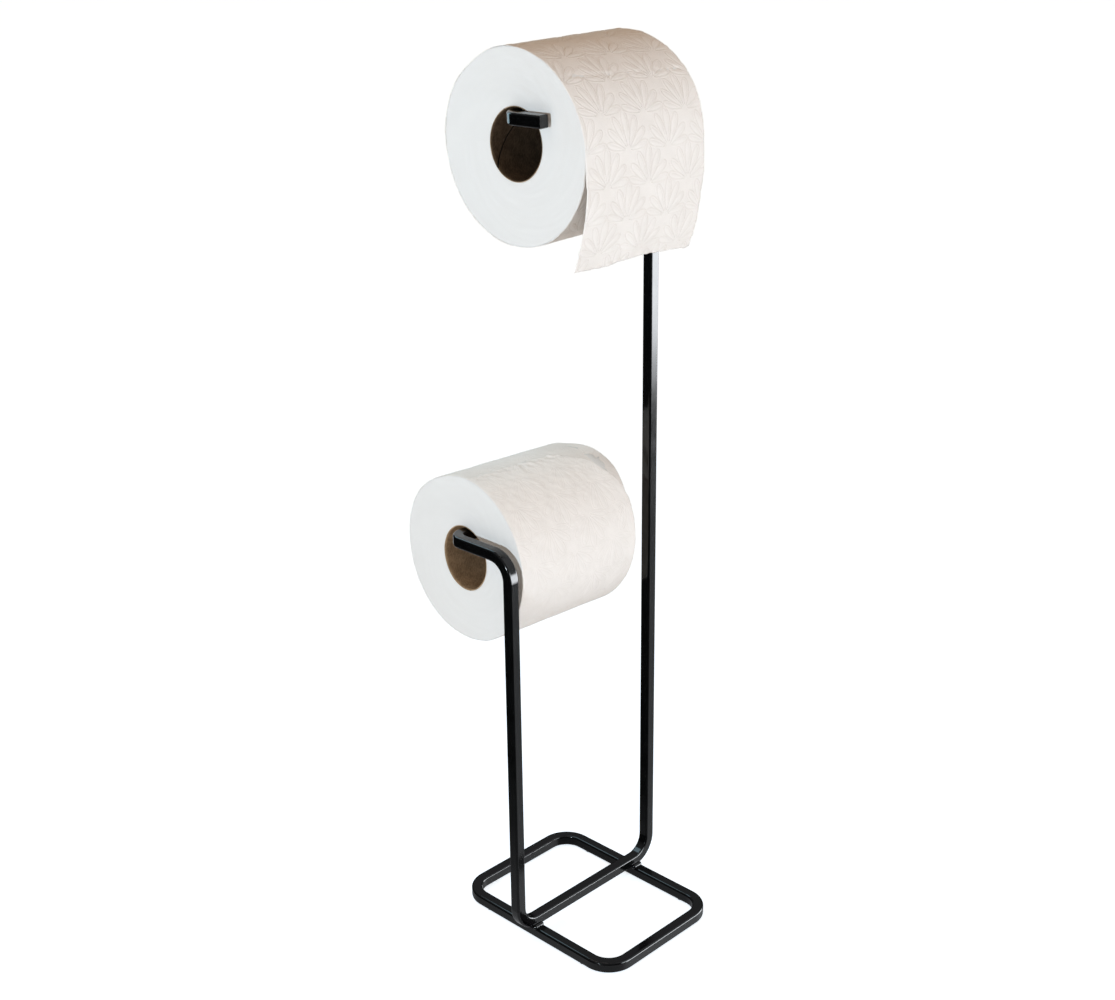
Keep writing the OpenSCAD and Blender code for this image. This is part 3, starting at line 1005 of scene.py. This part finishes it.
def build_world(studio):
    """Warm light from above for matt surfaces, a room for the bars to mirror, white behind."""
    world = bpy.data.worlds.new("studio_room")
    world.use_nodes = True
    world.node_tree.nodes.clear()
    w = Wiring(world.node_tree)
    path = w.node("LightPath").outputs
    towards = w.split(w.node("TexCoord").outputs["Generated"])
    above = w.times(w.ramp(towards["Z"], 0.0, ROOM_HEIGHT), studio.room)
    even = w.node("Background", {"Color": tone(studio.room_colour), "Strength": above})
    mirrored = w.node("Background", {"Color": MIRROR_TINT,
                                     "Strength": mirrored_room(w, towards, studio.window)})
    white = w.node("Background", {"Color": WHITE, "Strength": 1.0})
    lit = w.node("MixShader", {0: path["Is Glossy Ray"], 1: even.outputs[0],
                               2: mirrored.outputs[0]})
    seen = w.node("MixShader", {0: path["Is Camera Ray"], 1: lit.outputs[0],
                                2: white.outputs[0]})
    w.node("OutputWorld", {"Surface": seen.outputs[0]})
    bpy.context.scene.world = world


# Operators --------

def refinish(names, material):
    for name in names:
        node = frame["nodes"][name]
        node.data.materials.clear()
        node.data.materials.append(material)


class FinishBars(bpy.types.Operator):
    """Gives the base loop, the spine bar and the welds their black powder coat"""
    bl_idname = "roll_holder.finish_bars"
    bl_label = "Coat the bars"

    def execute(self, context):
        finish = context.scene.holder_bar
        peel = shared_group("Powder coat", peel_group)
        for names, name, coat in ((BAR_NODES, "black_powder_coat", finish.coat_colour),
                                  (WELD_NODES, "coated_weld", finish.weld_colour)):
            refinish(names, coat_material(name, coat, peel, finish))
        return {"FINISHED"}


class FinishPads(bpy.types.Operator):
    """Gives the pads under the loop their rubber"""
    bl_idname = "roll_holder.finish_pads"
    bl_label = "Finish the pads"

    def execute(self, context):
        peel = shared_group("Powder coat", peel_group)
        refinish(PAD_NODES, pad_material(peel, context.scene.holder_bar))
        return {"FINISHED"}


class MakeCores(bpy.types.Operator):
    """Makes both rolls' cores from two plies each"""
    bl_idname = "roll_holder.make_cores"
    bl_label = "Make the cores"

    def execute(self, context):
        cores = context.scene.holder_cores
        rim = card_material("core_outer_card", [c * 0.7 for c in cores.rim], cores.rim)
        for roll, start, dark, light, seam_at in (
                (TOP_ROLL, "top", cores.top_dark, cores.top_light, -0.74),
                (LOW_ROLL, "low", cores.low_dark, cores.low_light, 2.6)):
            inner = card_material(f"{start}_core_card", dark, light)
            for ply, kind, material in ((0, "inner", inner), (1, "outer", rim)):
                piece = core_piece(f"{start}_core_{kind}_strip", roll, cores, ply,
                                   seam_at + SEAM_TURN * ply, CORE_SEED + ply)
                finish_piece(piece, f"{start}_roll", "core_card", material,
                             f"{start}_core_{kind}_ply")
        return {"FINISHED"}


class MakeWindings(bpy.types.Operator):
    """Makes the wound paper of both rolls, with its cut faces"""
    bl_idname = "roll_holder.make_windings"
    bl_label = "Make the windings"

    def execute(self, context):
        paper, cores = context.scene.holder_paper, context.scene.holder_cores
        material = winding_material(paper)
        for roll, start, outer, drift, seed in ((TOP_ROLL, "top", top_outer, no_drift, 11),
                                                (LOW_ROLL, "low", low_outer, low_drift, 12)):
            piece = winding_piece(f"{start}_wound_paper", roll, 2 * cores.ply,
                                  outer(roll, paper), drift, paper.seed + seed)
            finish_piece(piece, f"{start}_roll", "wound_tissue", material, f"{start}_winding")
        return {"FINISHED"}


class MakeTopSheet(bpy.types.Operator):
    """Makes the outer turn and the hanging sheet of the roll in use"""
    bl_idname = "roll_holder.make_top_sheet"
    bl_label = "Make the hanging sheet"

    def execute(self, context):
        paper = context.scene.holder_paper
        piece = top_sheet_piece(paper)
        finish_piece(piece, "top_roll", "tissue_sheet", tissue_material("top_tissue", 1.0, paper),
                     "top_outer_lap", "top_last_sheet")
        return {"FINISHED"}


class MakeLowWrap(bpy.types.Operator):
    """Makes the outermost paper of the spare roll"""
    bl_idname = "roll_holder.make_low_wrap"
    bl_label = "Make the spare roll's wrap"

    def execute(self, context):
        paper = context.scene.holder_paper
        piece = low_wrap_piece(paper)
        finish_piece(piece, "low_roll", "tissue_sheet", tissue_material("low_tissue", 0.5, paper),
                     "low_outer_lap")
        return {"FINISHED"}


class SetStage(bpy.types.Operator):
    """Sets the floor, the lamps and the camera"""
    bl_idname = "roll_holder.set_stage"
    bl_label = "Set the stage"

    def execute(self, context):
        studio = context.scene.holder_studio
        line = np.linspace(-FLOOR_HALF, FLOOR_HALF, FLOOR_POINTS)
        numbers = np.arange(FLOOR_POINTS ** 2).reshape(FLOOR_POINTS, FLOOR_POINTS)
        floor = make_piece("pale_floor", triples(line[:, None], line, 0), quads(numbers))
        floor.data.materials.append(floor_material())
        floor.visible_glossy = False
        add_camera(studio.lens)
        for name, lamp in LAMPS.items():
            add_lamp(f"{name}_lamp", getattr(studio, f"{name}_watts"), *lamp)
        build_world(studio)
        context.scene.view_settings.view_transform = "Standard"
        context.scene.view_settings.look = "None"
        return {"FINISHED"}


OPERATORS = (FinishBars, FinishPads, MakeCores, MakeWindings, MakeTopSheet, MakeLowWrap,
             SetStage)
SETTINGS = {"holder_bar": HolderBarFinish, "holder_paper": HolderPaper,
            "holder_cores": HolderCores, "holder_studio": HolderStudio}


class RollHolderPanel(bpy.types.Panel):
    """Lists the holder's settings and what makes its pieces"""
    bl_idname = "VIEW3D_PT_roll_holder"
    bl_label = "Roll holder"
    bl_space_type = "VIEW_3D"
    bl_region_type = "UI"
    bl_category = "Roll holder"

    def draw(self, context):
        for key, group in SETTINGS.items():
            box = self.layout.box()
            for name in group.__annotations__:
                box.prop(getattr(context.scene, key), name)
        for operator in OPERATORS:
            self.layout.operator(operator.bl_idname)


CLASSES = (*SETTINGS.values(), *OPERATORS, RollHolderPanel)


def register():
    for item in CLASSES:
        bpy.utils.register_class(item)
    for key, group in SETTINGS.items():
        setattr(bpy.types.Scene, key, PointerProperty(type=group))


def unregister():
    for key in SETTINGS:
        delattr(bpy.types.Scene, key)
    for item in reversed(CLASSES):
        bpy.utils.unregister_class(item)


def main():
    register()
    for operator in OPERATORS:
        area, name = operator.bl_idname.split(".")
        getattr(getattr(bpy.ops, area), name)()


if __name__ == "__main__":
    main()
